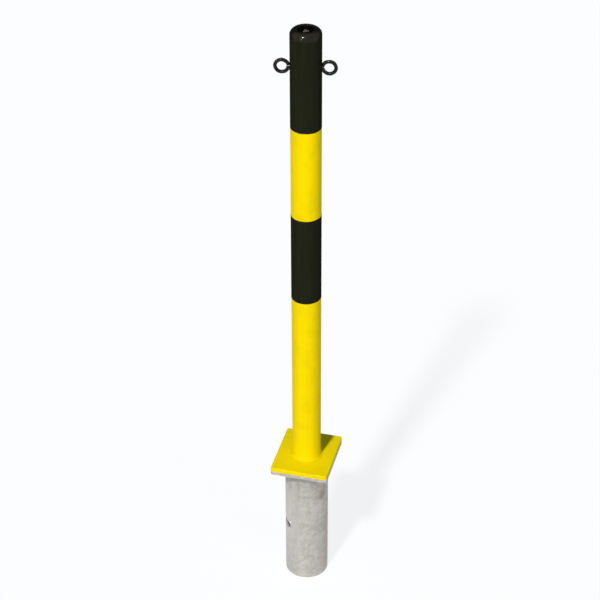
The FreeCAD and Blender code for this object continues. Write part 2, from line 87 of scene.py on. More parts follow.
def linear(colour: str) -> tuple[float, float, float, float]:
    """Turns an sRGB hex colour to linear light.

    Args:
        colour: Six hex digits, red, green and blue.

    Returns:
        Linear red, green and blue, and an alpha of 1.
    """
    parts = np.array([int(colour[place : place + 2], 16) for place in (0, 2, 4)]) / 255
    straight = np.where(parts <= 0.04045, parts / 12.92, ((parts + 0.055) / 1.055) ** 2.4)
    return (*straight.tolist(), 1.0)


def per_metre(size_mm: float) -> float:
    """The scale of a pattern whose features measure size_mm."""
    return 1 / (size_mm * MM)


def add_node(tree: bpy.types.NodeTree, kind: str, settings: dict, inputs: dict) -> bpy.types.Node:
    """Adds a shader node with its settings and its inputs.

    Args:
        tree: The node tree that the node goes into.
        kind: The node's Blender type.
        settings: Properties of the node itself.
        inputs: A value, or another node's output to link, for each input by name or number.

    Returns:
        The new node.
    """
    node = tree.nodes.new(kind)
    for name, value in settings.items():
        setattr(node, name, value)
    for name, value in inputs.items():
        if isinstance(value, bpy.types.NodeSocket):
            tree.links.new(value, node.inputs[name])
        else:
            node.inputs[name].default_value = value
    return node


def new_material(name: str) -> tuple[bpy.types.Material, bpy.types.NodeTree, bpy.types.NodeSocket]:
    """Starts an empty material.

    Args:
        name: The material's name.

    Returns:
        The material, its node tree and the coordinates that its patterns follow.
    """
    material = bpy.data.materials.new(name)
    material.use_nodes = True
    tree = material.node_tree
    tree.nodes.clear()
    return material, tree, add_node(tree, "ShaderNodeTexCoord", {}, {}).outputs["Object"]


def waves(turn: np.ndarray, lowest: int, highest: int, seed: int) -> np.ndarray:
    """An uneven line that closes on itself: a sum of whole waves round the circle, with random phases.

    Args:
        turn: Angles round the circle, in radians.
        lowest: Fewest waves to the turn.
        highest: Most waves to the turn.
        seed: Seed of the phases and heights.

    Returns:
        A number of about -1 to 1 for each angle.
    """
    draw = np.random.default_rng(seed)
    counts = np.arange(lowest, highest + 1)
    phases = draw.uniform(0, FULL_TURN, counts.size)
    heights = draw.uniform(FLATTEST_WAVE, 1.0, counts.size) / np.sqrt(counts)
    total = (heights * np.cos(turn[..., None] * counts + phases)).sum(-1)
    return total / np.abs(heights).sum() * WAVE_GAIN


def surface(name: str, grid_mm: np.ndarray, closed_rows: bool, crease_deg: float) -> bpy.types.Object:
    """Makes a closed surface of a grid of points.

    The points of a row always join round, last to first. With closed_rows the last row joins the first
    as well, as on a ring; otherwise the first and the last row are each closed by a fan of triangles to
    the middle of the row. The enclosed volume, the sum of a . (b x c) / 6 over the triangles a, b, c,
    tells whether the faces point outwards, and they are turned round if it is negative.

    Args:
        name: The object's name.
        grid_mm: Points, as rows x columns x 3.
        closed_rows: Whether the last row joins the first.
        crease_deg: Edges that turn by more than this stay sharp.

    Returns:
        The object, in the scene.
    """
    rows, columns = grid_mm.shape[:2]
    vertices = grid_mm.reshape(-1, 3) * MM
    row = np.arange(rows if closed_rows else rows - 1)[:, None]
    column = np.arange(columns)[None, :]
    beside = (column + 1) % columns
    above = (row + 1) % rows
    here, over = row * columns, above * columns
    quads = np.stack([here + column, here + beside, over + beside, over + column], -1).reshape(-1, 4)
    triangles = np.concatenate([quads[:, [0, 1, 2]], quads[:, [0, 2, 3]]])
    fans = np.empty((0, 3), int)
    if not closed_rows:
        poles = np.stack([grid_mm[0].mean(0), grid_mm[-1].mean(0)]) * MM
        first, last = rows * columns, rows * columns + 1
        vertices = np.concatenate([vertices, poles])
        around, onward = column[0], beside[0]
        start = (rows - 1) * columns
        fan_down = np.stack([np.full(columns, first), onward, around], -1)
        fan_up = np.stack([np.full(columns, last), start + around, start + onward], -1)
        fans = np.concatenate([fan_down, fan_up])
        triangles = np.concatenate([triangles, fans])
    a, b, c = (vertices[triangles[:, corner]] for corner in range(3))
    if np.einsum("ij,ij->", a, np.cross(b, c)) < 0:
        quads, fans = quads[:, ::-1], fans[:, ::-1]
    mesh = bpy.data.meshes.new(name)
    mesh.from_pydata(vertices.tolist(), [], quads.tolist() + fans.tolist())
    mesh.polygons.foreach_set("use_smooth", np.ones(len(mesh.polygons), bool))
    mesh.set_sharp_from_angle(angle=radians(crease_deg))
    piece = bpy.data.objects.new(name, mesh)
    bpy.context.scene.collection.objects.link(piece)
    return piece


def around_axis(radius_mm: np.ndarray, height_mm: np.ndarray, turn: np.ndarray) -> np.ndarray:
    """Points at a radius and a height for each angle round Z: (r cos t, r sin t, z)."""
    height = np.broadcast_to(height_mm, radius_mm.shape)
    return np.stack([radius_mm * np.cos(turn), radius_mm * np.sin(turn), height], -1)


def turned(outward: np.ndarray, sideways: np.ndarray, upward: np.ndarray, azimuth_deg: float) -> np.ndarray:
    """Turns points to face an azimuth: (o cos a - s sin a, o sin a + s cos a, u).

    Args:
        outward: How far each point lies out along the azimuth.
        sideways: How far it lies to the left of it.
        upward: Its height.
        azimuth_deg: The azimuth.

    Returns:
        The points.
    """
    face = radians(azimuth_deg)
    along = outward * cos(face) - sideways * sin(face)
    across = outward * sin(face) + sideways * cos(face)
    return np.stack([along, across, upward], -1)


@dataclass(frozen=True)
class StainOrPaintedLight:
    """A mark on a round surface: a stained spot on the sleeve's zinc, painted shade under the sleeve's flange
    and in its anchor hole, a painted highlight on the hole's lower face, or the painted shade of a pit in the
    weld's coat.
    """

    azimuth_deg: float
    height_mm: float
    reach_mm: float
    strength: float
    colour: str
    stretch: float = 1.0

    def centre(self, radius_mm: float) -> tuple[float, float, float]:
        """The middle of the mark on a tube of that radius, in metres."""
        turn = radians(self.azimuth_deg)
        return (radius_mm * MM * cos(turn), radius_mm * MM * sin(turn), self.height_mm * MM)

    def lay(
        self,
        tree: bpy.types.NodeTree,
        place: bpy.types.NodeSocket,
        mottling: bpy.types.NodeSocket,
        colour: bpy.types.NodeSocket,
        radius_mm: float,
    ) -> bpy.types.NodeSocket:
        """Lays the mark over a colour, strongest in the middle and ragged at its edge.

        Args:
            tree: The node tree of the material.
            place: The coordinates that the patterns follow.
            mottling: A noise of about 0 to 1, which makes the mark's edge ragged.
            colour: The colour under the mark.
            radius_mm: Radius of the tube that the mark is on.

        Returns:
            The colour with the mark on it.
        """
        across = (1.0, 1.0, 1 / self.stretch)
        flat = add_node(tree, "ShaderNodeVectorMath", {"operation": "MULTIPLY"}, {0: place, 1: across})
        middle = tuple(a * b for a, b in zip(self.centre(radius_mm), across))
        apart = {0: flat.outputs["Vector"], 1: middle}
        away = add_node(tree, "ShaderNodeVectorMath", {"operation": "DISTANCE"}, apart).outputs["Value"]
        reach = self.reach_mm * MM
        ragged = add_node(
            tree, "ShaderNodeMath", {"operation": "MULTIPLY_ADD"}, {0: mottling, 1: reach, 2: away}
        )
        mark = add_node(
            tree,
            "ShaderNodeMapRange",
            {"interpolation_type": "SMOOTHSTEP"},
            {
                "Value": ragged.outputs["Value"],
                "From Min": reach * MARK_CORE,
                "From Max": reach * MARK_RIM,
                "To Min": self.strength,
                "To Max": 0.0,
            },
        )
        marked = {0: mark.outputs["Result"], 6: colour, 7: linear(self.colour)}
        return add_node(tree, "ShaderNodeMix", {"data_type": "RGBA"}, marked).outputs[2]


@dataclass(frozen=True)
class Patches:
    """Soft patches of another colour, where a noise is high.

    They begin where the noise is above starts, and are at their strongest where it is above full.
    """

    size_mm: float
    detail: float
    roughness: float
    starts: float
    full: float
    distortion: float = 0.0

    def lay(
        self,
        tree: bpy.types.NodeTree,
        place: bpy.types.NodeSocket,
        under: bpy.types.NodeSocket | tuple[float, ...],
        over: str,
        strength: float = 1.0,
    ) -> tuple[bpy.types.NodeSocket, bpy.types.NodeSocket]:
        """Lays the patches over a colour.

        Args:
            tree: The node tree of the material.
            place: The coordinates that the noise follows.
            under: The colour under the patches.
            over: The hex colour of the patches.
            strength: How far they cover the colour under them.

        Returns:
            The colour with the patches on it, and the noise.
        """
        noise = add_node(
            tree,
            "ShaderNodeTexNoise",
            {},
            {
                "Vector": place,
                "Scale": per_metre(self.size_mm),
                "Detail": self.detail,
                "Roughness": self.roughness,
                "Distortion": self.distortion,
            },
        ).outputs["Fac"]
        share = add_node(
            tree,
            "ShaderNodeMapRange",
            {"interpolation_type": "SMOOTHSTEP"},
            {"Value": noise, "From Min": self.starts, "From Max": self.full, "To Max": strength},
        )
        both = {0: share.outputs["Result"], 6: under, 7: linear(over)}
        return add_node(tree, "ShaderNodeMix", {"data_type": "RGBA"}, both).outputs[2], noise


@dataclass(frozen=True)
class PowderCoat:
    """Polyester powder coat baked on steel: an even colour under a thin gloss, with faint orange peel.

    The flow of the powder leaves long soft streaks down the tube, and dust settles in patches. Where a coat
    is part metallic, edge is how much it mirrors at a grazing angle.
    """

    name: str
    colour: str
    streak_colour: str
    dust_colour: str
    streak: float
    dust: float
    roughness: float
    gloss: float
    gloss_roughness: float
    metallic: float = 0.0
    edge: float = 1.0
    streak_mm: float = 5.0
    streak_length: float = 0.02
    dust_mm: float = 38.0
    peel_mm: float = 2.6
    peel_height_mm: float = 0.02
    mark_radius_mm: float = 30.8
    stains_and_painted_light: tuple[StainOrPaintedLight, ...] = ()

    def colours(self, tree: bpy.types.NodeTree, place: bpy.types.NodeSocket) -> bpy.types.NodeSocket:
        """Adds the coat's colour to a tree.

        Args:
            tree: The node tree of the material.
            place: The coordinates that the patterns follow.

        Returns:
            The colour.
        """
        long = add_node(
            tree, "ShaderNodeMapping", {}, {"Vector": place, "Scale": (1.0, 1.0, self.streak_length)}
        ).outputs["Vector"]
        flow = Patches(self.streak_mm, detail=3.0, roughness=0.55, starts=0.42, full=0.68)
        streaked, _ = flow.lay(tree, long, linear(self.colour), self.streak_colour, self.streak)
        settled = Patches(self.dust_mm, detail=6.0, roughness=0.65, starts=0.45, full=0.72)
        coloured, patches = settled.lay(tree, place, streaked, self.dust_colour, self.dust)
        for mark_or_light in self.stains_and_painted_light:
            coloured = mark_or_light.lay(tree, place, patches, coloured, self.mark_radius_mm)
        return coloured

    def peel(self, tree: bpy.types.NodeTree, place: bpy.types.NodeSocket) -> bpy.types.NodeSocket:
        """Adds the orange peel to a tree.

        Args:
            tree: The node tree of the material.
            place: The coordinates that the pattern follows.

        Returns:
            The bumped normal.
        """
        waviness = add_node(
            tree,
            "ShaderNodeTexNoise",
            {},
            {"Vector": place, "Scale": per_metre(self.peel_mm), "Detail": 1.5, "Roughness": 0.4},
        ).outputs["Fac"]
        bump = {"Height": waviness, "Strength": 0.6, "Distance": self.peel_height_mm * MM}
        return add_node(tree, "ShaderNodeBump", {}, bump).outputs["Normal"]

    def finish(self, tree: bpy.types.NodeTree, inputs: dict) -> None:
        """Adds the coat's shader and the material's output.

        Args:
            tree: The node tree of the material.
            inputs: The shader's inputs that aren't the coat's own constants.
        """
        constants = {
            "Roughness": self.roughness,
            "Metallic": self.metallic,
            "Specular Tint": (self.edge, self.edge, self.edge, 1.0),
            "Specular IOR Level": 0.0,
            "Coat Weight": self.gloss,
            "Coat Roughness": self.gloss_roughness,
        }
        shader = add_node(tree, "ShaderNodeBsdfPrincipled", {}, constants | inputs)
        add_node(tree, "ShaderNodeOutputMaterial", {}, {"Surface": shader.outputs["BSDF"]})

    def material(self) -> bpy.types.Material:
        """Makes the coat a material.

        Returns:
            The material.
        """
        material, tree, place = new_material(self.name)
        normal = self.peel(tree, place)
        colour = self.colours(tree, place)
        self.finish(tree, {"Base Color": colour, "Normal": normal, "Coat Normal": normal})
        return material


@dataclass(frozen=True)
class Galvanised:
    """Hot-dip zinc gone dull outdoors: pale grey with soft clouds, fine grain, runs, and the marks laid on
    it: stained spots, and on the sleeve painted light and shade as well.
    """

    name: str
    light: str = "c0bcb5"
    middle: str = "afaba3"
    dark: str = "9d9891"
    cloud_mm: float = 14.0
    grain_mm: float = 3.2
    run_mm: float = 9.0
    run_stretch: float = 0.22
    run_strength: float = 0.5
    metallic: float = 0.3
    roughness: float = 0.52
    grain_height_mm: float = 0.05
    speck_range: tuple[float, float] = (0.87, 1.11)
    mark_radius_mm: float = 46.0
    stains_and_painted_light: tuple[StainOrPaintedLight, ...] = ()

    def colours(self, tree: bpy.types.NodeTree, place: bpy.types.NodeSocket) -> bpy.types.NodeSocket:
        """Adds the zinc's colour to a tree.

        Args:
            tree: The node tree of the material.
            place: The coordinates that the patterns follow.

        Returns:
            The colour.
        """
        soft = Patches(self.cloud_mm, detail=7.0, roughness=0.58, starts=0.34, full=0.64, distortion=0.6)
        cloudy, clouds = soft.lay(tree, place, linear(self.middle), self.light)
        upright = add_node(
            tree, "ShaderNodeMapping", {}, {"Vector": place, "Scale": (1.0, 1.0, self.run_stretch)}
        ).outputs["Vector"]
        runs = Patches(self.run_mm, detail=4.0, roughness=0.5, starts=0.5, full=0.8)
        streaked, _ = runs.lay(tree, upright, cloudy, self.dark, self.run_strength)
        darkest, lightest = self.speck_range
        specks = add_node(
            tree,
            "ShaderNodeMapRange",
            {},
            {
                "Value": self.grain(tree, place),
                "From Min": 0.3,
                "From Max": 0.7,
                "To Min": darkest,
                "To Max": lightest,
            },
        )
        speckled = {0: streaked, "Scale": specks.outputs["Result"]}
        coloured = add_node(tree, "ShaderNodeVectorMath", {"operation": "SCALE"}, speckled).outputs["Vector"]
        for mark_or_light in self.stains_and_painted_light:
            coloured = mark_or_light.lay(tree, place, clouds, coloured, self.mark_radius_mm)
        return coloured

    def grain(self, tree: bpy.types.NodeTree, place: bpy.types.NodeSocket) -> bpy.types.NodeSocket:
        """Adds the fine grain of the zinc.

        Args:
            tree: The node tree of the material.
            place: The coordinates that the pattern follows.

        Returns:
            The grain, about 0 to 1.
        """
        return add_node(
            tree,
            "ShaderNodeTexNoise",
            {},
            {"Vector": place, "Scale": per_metre(self.grain_mm), "Detail": 3.0, "Roughness": 0.65},
        ).outputs["Fac"]

    def material(self) -> bpy.types.Material:
        """Makes the zinc a material.

        Returns:
            The material.
        """
        material, tree, place = new_material(self.name)
        bump = add_node(
            tree,
            "ShaderNodeBump",
            {},
            {"Height": self.grain(tree, place), "Strength": 0.5, "Distance": self.grain_height_mm * MM},
        )
        shader = add_node(
            tree,
            "ShaderNodeBsdfPrincipled",
            {},
            {
                "Base Color": self.colours(tree, place),
                "Metallic": self.metallic,
                "Roughness": self.roughness,
                "Normal": bump.outputs["Normal"],
            },
        )
        add_node(tree, "ShaderNodeOutputMaterial", {}, {"Surface": shader.outputs["BSDF"]})
        return material


@dataclass(frozen=True)
class CoatedAbove:
    """A tube that is coated above one level and bare zinc below it, as on a spigot."""

    name: str
    coat: PowderCoat
    bare: Galvanised
    level_mm: float
    fade_mm: float = 1.5

    def material(self) -> bpy.types.Material:
        """Makes the two finishes one material, mixed by height.

        Returns:
            The material.
        """
        material, tree, place = new_material(self.name)
        height = add_node(tree, "ShaderNodeSeparateXYZ", {}, {0: place}).outputs["Z"]
        fade = {
            "Value": height,
            "From Min": (self.level_mm - self.fade_mm) * MM,
            "From Max": (self.level_mm + self.fade_mm) * MM,
        }
        above = add_node(tree, "ShaderNodeMapRange", {}, fade).outputs["Result"]
        both = {0: above, 6: self.bare.colours(tree, place), 7: self.coat.colours(tree, place)}
        colour = add_node(tree, "ShaderNodeMix", {"data_type": "RGBA"}, both).outputs[2]
        metals = {"To Min": self.bare.metallic, "To Max": self.coat.metallic}
        roughs = {"To Min": self.bare.roughness, "To Max": self.coat.roughness}
        metal = add_node(tree, "ShaderNodeMapRange", {}, fade | metals)
        rough = add_node(tree, "ShaderNodeMapRange", {}, fade | roughs)
        normal = self.coat.peel(tree, place)
        self.coat.finish(
            tree,
            {
                "Base Color": colour,
                "Metallic": metal.outputs["Result"],
                "Roughness": rough.outputs["Result"],
                "Normal": normal,
                "Coat Normal": normal,
            },
        )
        return material


@dataclass(frozen=True)
class PlainSteel:
    """Turned mild steel, oiled and a little browned: rings from the tool and darker blotches.

    The rings are drawn coarser than a tool leaves them, so that they show from close by.
    """

    name: str
    clean: str
    browned: str
    blotch_mm: float = 6.0
    ring_mm: float = 0.691
    roughness: float = 0.36
    ring_height_mm: float = 0.02

    def material(self) -> bpy.types.Material:
        """Makes the steel a material.

        Returns:
            The material.
        """
        material, tree, place = new_material(self.name)
        blotches = Patches(self.blotch_mm, detail=5.0, roughness=0.6, starts=0.42, full=0.7)
        colour, _ = blotches.lay(tree, place, linear(self.clean), self.browned)
        rings = add_node(
            tree,
            "ShaderNodeTexWave",
            {"wave_type": "RINGS", "rings_direction": "Z"},
            {
                "Vector": place,
                "Scale": per_metre(self.ring_mm) * FULL_TURN / WAVE_TEXTURE_TURN,
                "Distortion": 0.3,
            },
        )
        bump = add_node(
            tree,
            "ShaderNodeBump",
            {},
            {"Height": rings.outputs["Fac"], "Strength": 0.35, "Distance": self.ring_height_mm * MM},
        )
        shader = add_node(
            tree,
            "ShaderNodeBsdfPrincipled",
            {},
            {
                "Base Color": colour,
                "Metallic": 1.0,
                "Roughness": self.roughness,
                "Normal": bump.outputs["Normal"],
            },
        )
        add_node(tree, "ShaderNodeOutputMaterial", {}, {"Surface": shader.outputs["BSDF"]})
        return material


# The sleeve's larger marks, placed as in the photo: brown runs under the flange, grey bands where the tube
# was handled, a tall pinkish strip down the right side and a tall pale streak by the anchor hole. Painted
# light and shade are among them: a broad grey over the front under the flange, which is painted shade as well
# as darker zinc, near-black painted shade in and round the anchor hole, and a pale painted highlight on the
# hole's lower face. Each has its azimuth, height, reach, strength and colour, and how far it is stretched
# upwards.
SLEEVE_STAINS_AND_PAINTED_LIGHT = (
    StainOrPaintedLight(328.5, 228.0, 15.0, 0.8, "7f745f"),
    StainOrPaintedLight(331.0, 232.0, 27.0, 0.5, "968a74"),
    StainOrPaintedLight(343.0, 247.0, 13.0, 0.35, "8d7f6c", 1.6),
    StainOrPaintedLight(359.0, 197.5, 6.0, 0.8, "5f564c"),
    StainOrPaintedLight(232.0, 252.0, 12.0, 0.5, "8d8a80", 2.2),
    StainOrPaintedLight(262.0, 258.0, 8.0, 0.45, "86837b", 3.0),
    StainOrPaintedLight(298.0, 262.0, 11.0, 0.5, "87847b", 1.2),
    StainOrPaintedLight(312.0, 254.0, 7.0, 0.5, "8b877e", 2.0),
    StainOrPaintedLight(276.0, 247.0, 6.0, 0.45, "8f8c83", 1.0),
    StainOrPaintedLight(286.0, 190.0, 16.0, 0.35, "9b988f", 0.6),
    StainOrPaintedLight(255.0, 205.0, 9.0, 0.35, "9a978e", 2.5),
    StainOrPaintedLight(249.5, 177.4, 14.0, 0.35, "96938b"),
    StainOrPaintedLight(241.8, 95.0, 16.0, 0.3, "9a978f"),
    # A tall pinkish strip down the sleeve's right side.
    StainOrPaintedLight(4.0, 100.0, 26.0, 0.6, "b0988e", 6.0),
    StainOrPaintedLight(331.0, 139.0, 16.0, 0.4, "98978a", 1.6),
    # Painted shade with darker zinc: a broad grey over the front just under the flange.
    StainOrPaintedLight(285.0, 268.0, 70.0, 0.3, "97938a", 0.75),
    StainOrPaintedLight(276.0, 231.0, 56.0, 0.32, "918d85", 0.05),
    StainOrPaintedLight(218.0, 150.0, 42.0, 0.6, "d2cdc4", 4.0),
    StainOrPaintedLight(268.0, 65.5, 20.0, 0.6, "96938c", 0.08),
    StainOrPaintedLight(288.0, 61.0, 16.0, 0.65, "908d87", 0.08),
    StainOrPaintedLight(283.0, 56.0, 12.0, 0.5, "94918b", 0.1),
    # Painted shade: near-black in and round the anchor hole, where it is dark inside.
    StainOrPaintedLight(228.0, 136.5, 10.5, 0.98, "0e1014"),
    StainOrPaintedLight(219.0, 132.5, 8.0, 0.95, "0e1014"),
    StainOrPaintedLight(213.0, 142.5, 6.0, 0.97, "14161a"),
    # Painted highlight: pale on the anchor hole's lower face, where light falls in.
    StainOrPaintedLight(224.0, 122.5, 7.0, 0.5, "d8d6d0"),
)
# Shade in the weld's pits, and dull spots on the far side.
WELD_PITS = (
    StainOrPaintedLight(355.0, 328.0, 2.4, 0.85, "4a420c"),
    StainOrPaintedLight(341.5, 324.5, 2.0, 0.8, "554c10"),
    StainOrPaintedLight(348.0, 325.5, 1.4, 0.6, "6b6010"),
    StainOrPaintedLight(205.0, 326.0, 5.0, 0.35, "a38f0c"),
    StainOrPaintedLight(120.0, 325.0, 3.0, 0.5, "6b6010"),
    StainOrPaintedLight(60.0, 326.0, 4.0, 0.4, "8a7a0c"),
)
# A strong warm yellow, even from afar, with faint long streaks and a soft sheen.
YELLOW_COAT = PowderCoat(
    "yellow powder coat",
    "efd200",
    "e6c800",
    "d8be04",
    streak=0.5,
    dust=0.4,
    roughness=0.6,
    gloss=0.08,
    gloss_roughness=0.16,
)
# The same yellow, painted darker over the weld as shade in the corner, so that its face turned to the lamps
# shows no brighter than the tube, and with dark painted shade in its pinholes.
WELD_COAT_WITH_PAINTED_SHADE = PowderCoat(
    "yellow coat over the weld with painted shade",
    "e3c700",
    "d9bd00",
    "cdb304",
    streak=0.5,
    dust=0.5,
    roughness=0.6,
    gloss=0.08,
    gloss_roughness=0.2,
    stains_and_painted_light=WELD_PITS,
)
# A dull olive black that stays dark at the tube's edges.
BLACK_COAT = PowderCoat(
    "black powder coat",
    "1d1f13",
    "25271b",
    "24201a",
    streak=0.5,
    dust=0.5,
    roughness=0.7,
    gloss=0.012,
    gloss_roughness=0.2,
)
# A browner black, worn smooth, that catches small hard glints on its rounding. Being part metallic is only
# for the look: it gives the glints, and the low edge keeps the head's rim dark.
HEAD_COAT = PowderCoat(
    "black coat on the turned head",
    "282720",
    "2e2d27",
    "3a332c",
    streak=0.5,
    dust=0.7,
    roughness=0.17,
    gloss=0.05,
    gloss_roughness=0.1,
    metallic=0.85,
    edge=0.02,
    peel_mm=3.5,
)
# A deep black with a wet line of light along the wire.
EYE_COAT = PowderCoat(
    "black coat on bent wire",
    "0c0b08",
    "12110d",
    "2c2821",
    streak=0.5,
    dust=0.6,
    roughness=0.5,
    gloss=0.42,
    gloss_roughness=0.2,
    dust_mm=8.0,
)
# A thin brownish black on rough weld metal.
BEAD_COAT = PowderCoat(
    "black coat on a bead",
    "1a1711",
    "2c261d",
    "5a4a3a",
    streak=0.6,
    dust=0.8,
    roughness=0.6,
    gloss=0.2,
    gloss_roughness=0.3,
    dust_mm=5.0,
)
# Pale warm grey with soft clouds and fine grain, without a mirror shine.
ZINC = Galvanised("hot-dip zinc")
# The same zinc with the dirt and the runs of handling on it, painted shade under the flange and in the anchor
# hole, and a painted highlight on the hole's lower face.
SLEEVE_ZINC = Galvanised("hot-dip zinc with stains", stains_and_painted_light=SLEEVE_STAINS_AND_PAINTED_LIGHT)
# A small bright spot, where zinc froze as a drip.
FRESH_ZINC = Galvanised("bright zinc drip", "dddbd7", "d2d0cc", "c3c1bd", metallic=0.4, roughness=0.4)
# Dark metal with a turned grain: the stud shows paler than its well.
STEEL = PlainSteel("turned steel", "4f4a42", "3c332a")


def dress(nodes: tuple[str, ...], material: bpy.types.Material) -> None:
    """Gives carried-over solids their finish.

    Args:
        nodes: Names of the solids.
        material: The finish.
    """
    for node in nodes:
        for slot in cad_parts[node].material_slots:
            slot.material = material
        log.info("dressed %s in %s", node, material.name)


def settle(
    piece: bpy.types.Object, body: Body, slot: Slot, material: bpy.types.Material, *nodes: str
) -> None:
    """Finishes a new piece: its material, the body it moves with and the solids that it stands for.

    Args:
        piece: The piece.
        body: The body that it moves with.
        slot: The finish that the record gives it; not used.
        material: Its material.
        nodes: The solids that it replaces.
    """
    piece.data.materials.append(material)
    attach(piece, body.value)
    if nodes:
        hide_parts(*nodes)
    log.info("built %s, %d faces, on %s", piece.name, len(piece.data.polygons), body.value)


@dataclass(frozen=True)
class Pit:
    """A small hollow in a weld's face."""

    azimuth_deg: float
    up: float
    size_mm: float
    depth_mm: float


@dataclass
class WeldBead:
    """A fillet weld laid round a tube, with ripples where each puddle of metal froze."""

    name: str
    tube_radius_mm: float
    plate_level_mm: float
    side: int
    plate_leg_mm: float
    tube_leg_mm: float
    seed: int
    hollow: float = 0.0
    crown_mm: float = 0.5
    ripple_mm: float = 3.2
    ripple_depth_mm: float = 0.22
    ripple_bow: float = 2.2
    ripple_sway: float = 1.5
    ripple_waves: tuple[int, int] = (3, 40)
    wander: float = 0.12
    wander_waves: tuple[int, int] = (2, 26)
    swell: float = 0.0
    swell_azimuth_deg: float = -85.0
    buried_mm: float = 0.8
    pits: tuple[Pit, ...] = ()
    columns: int = 720
    rows: int = 26

    def build(self) -> bpy.types.Object:
        """Builds the bead as a closed ring.

        Across the face, t runs from 0 at the toe on the plate to 1 at the toe on the tube. The face lies
        between the straight line (1 - t, t) and the hollow quarter round (1 - sin(pi t / 2),
        1 - cos(pi t / 2)), mixed by hollow, times the two legs. It is raised along the slope's normal by
        crown x sin(pi t) and by ripples, and pits are cut into it as bell curves. The legs wander along
        the turn, and the leg on the plate swells on one side by swell x cos^4. The ring closes behind the
        face, inside the tube and the plate.

        Returns:
            The bead.
        """
        turn = np.linspace(0, FULL_TURN, self.columns, endpoint=False)[None, :]
        across = np.linspace(0, 1, self.rows)[:, None]
        facing = np.clip(np.cos(turn - radians(self.swell_azimuth_deg)), 0, 1) ** 4
        plate_wander = self.wander * waves(turn, *self.wander_waves, self.seed)
        tube_wander = self.wander * waves(turn, *self.wander_waves, self.seed + 1)
        plate_leg = self.plate_leg_mm * (1 + plate_wander + self.swell * facing)
        tube_leg = self.tube_leg_mm * (1 + tube_wander)
        puddles = round(FULL_TURN * self.tube_radius_mm / self.ripple_mm)
        bow = self.ripple_bow * (2 * across - 1) ** 2
        sway = self.ripple_sway * waves(turn, *self.ripple_waves, self.seed + 2)
        ripple = 0.5 + 0.5 * np.cos(puddles * turn + bow + sway)
        lift = np.sin(pi * across) * (self.crown_mm + self.ripple_depth_mm * ripple)
        for pit in self.pits:
            aside = np.abs((turn - radians(pit.azimuth_deg) + pi) % FULL_TURN - pi) * self.tube_radius_mm
            up = (across - pit.up) * np.hypot(self.plate_leg_mm, self.tube_leg_mm)
            lift = lift - pit.depth_mm * np.exp(-(aside**2 + up**2) / pit.size_mm**2)
        share_out = (1 - across) + self.hollow * (across - np.sin(pi * across / 2))
        share_up = across + self.hollow * (1 - np.cos(pi * across / 2) - across)
        outward = plate_leg * share_out + lift * np.sqrt(0.5)
        upward = tube_leg * share_up + lift * np.sqrt(0.5)
        deep = np.full_like(turn, -self.buried_mm)
        outward = np.concatenate([outward, deep, deep, plate_leg])
        upward = np.concatenate([upward, tube_leg, deep, deep])
        height = self.plate_level_mm + self.side * upward
        grid = around_axis(self.tube_radius_mm + outward, height, turn)
        return surface(self.name, grid, closed_rows=True, crease_deg=50)


@dataclass
class Lump:
    """A blob of weld or zinc: an ellipsoid with an uneven surface."""

    name: str
    centre_mm: tuple[float, float, float]
    facing_deg: float
    reach_mm: float
    width_mm: float
    height_mm: float
    seed: int
    uneven: float = 0.08
    lump_waves: tuple[int, int] = (2, 7)
    lean: float = 1.3
    ring_waves: tuple[int, int] = (1, 5)
    ring_share: float = 0.6
    rows: int = 40
    columns: int = 64

    def build(self) -> bpy.types.Object:
        """Builds the blob.

        A point in the direction (sin p cos t, sin p sin t, cos p) lies at the ellipsoid's three reaches
        times 1 + uneven x noise. The noise is an uneven line in t, which leans over with p and fades
        towards the poles, and a weaker one in 2p.

        Returns:
            The blob.
        """
        down = np.linspace(0, pi, self.rows)[1:-1, None]
        turn = np.linspace(0, FULL_TURN, self.columns, endpoint=False)[None, :]
        lumpy = waves(turn + self.lean * down, *self.lump_waves, self.seed) * np.sin(down)
        ringed = waves(turn * 0 + 2 * down, *self.ring_waves, self.seed + 1)
        size = 1 + self.uneven * (lumpy + self.ring_share * ringed)
        outward = self.reach_mm * size * np.sin(down) * np.cos(turn)
        sideways = self.width_mm * size * np.sin(down) * np.sin(turn)
        upward = self.height_mm * size * np.cos(down)
        grid = turned(outward, sideways, upward, self.facing_deg)
        return surface(self.name, grid + np.array(self.centre_mm), closed_rows=False, crease_deg=60)


def beside_post(azimuth_deg: float, reach_mm: float, height_mm: float) -> tuple[float, float, float]:
    """A point at a reach from the post's axis, in millimetres."""
    turn = radians(azimuth_deg)
    return (reach_mm * cos(turn), reach_mm * sin(turn), height_mm)


@dataclass
class GroundSocket:
    """The galvanised flange and sleeve that are set in the ground."""

    weld_leg_mm: float = 5.0
    sleeve_radius_mm: float = field(init=False)
    flange_level_mm: float = field(init=False)
    drip_azimuth_deg: float = 233.5
    drip_height_mm: float = 146.5
    drip_size_mm: tuple[float, float, float] = (1.2, 2.6, 3.0)

    def __post_init__(self) -> None:
        """Takes the sleeve's radius and the flange's level from the solids."""
        low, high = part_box("socket_sleeve")
        self.sleeve_radius_mm = (high.x - low.x) / 2 / MM
        self.flange_level_mm = high.z / MM

    def build(self) -> None:
        """Builds the weld under the flange and the drip by the anchor hole, and dresses the solids."""
        zinc, stained = ZINC.material(), SLEEVE_ZINC.material()
        dress(("socket_flange", "guide_ring"), zinc)
        dress(("socket_sleeve",), stained)
        weld = WeldBead(
            "sleeve_weld_bead",
            self.sleeve_radius_mm,
            self.flange_level_mm,
            side=-1,
            plate_leg_mm=self.weld_leg_mm,
            tube_leg_mm=self.weld_leg_mm,
            seed=11,
            buried_mm=1.2,
        )
        settle(weld.build(), Body.SOCKET, Slot.ZINC, zinc, "socket_weld")
        centre = beside_post(self.drip_azimuth_deg, self.sleeve_radius_mm, self.drip_height_mm)
        drip = Lump("zinc_drip", centre, self.drip_azimuth_deg, *self.drip_size_mm, seed=5, uneven=0.15)
        settle(drip.build(), Body.SOCKET, Slot.ZINC, FRESH_ZINC.material())


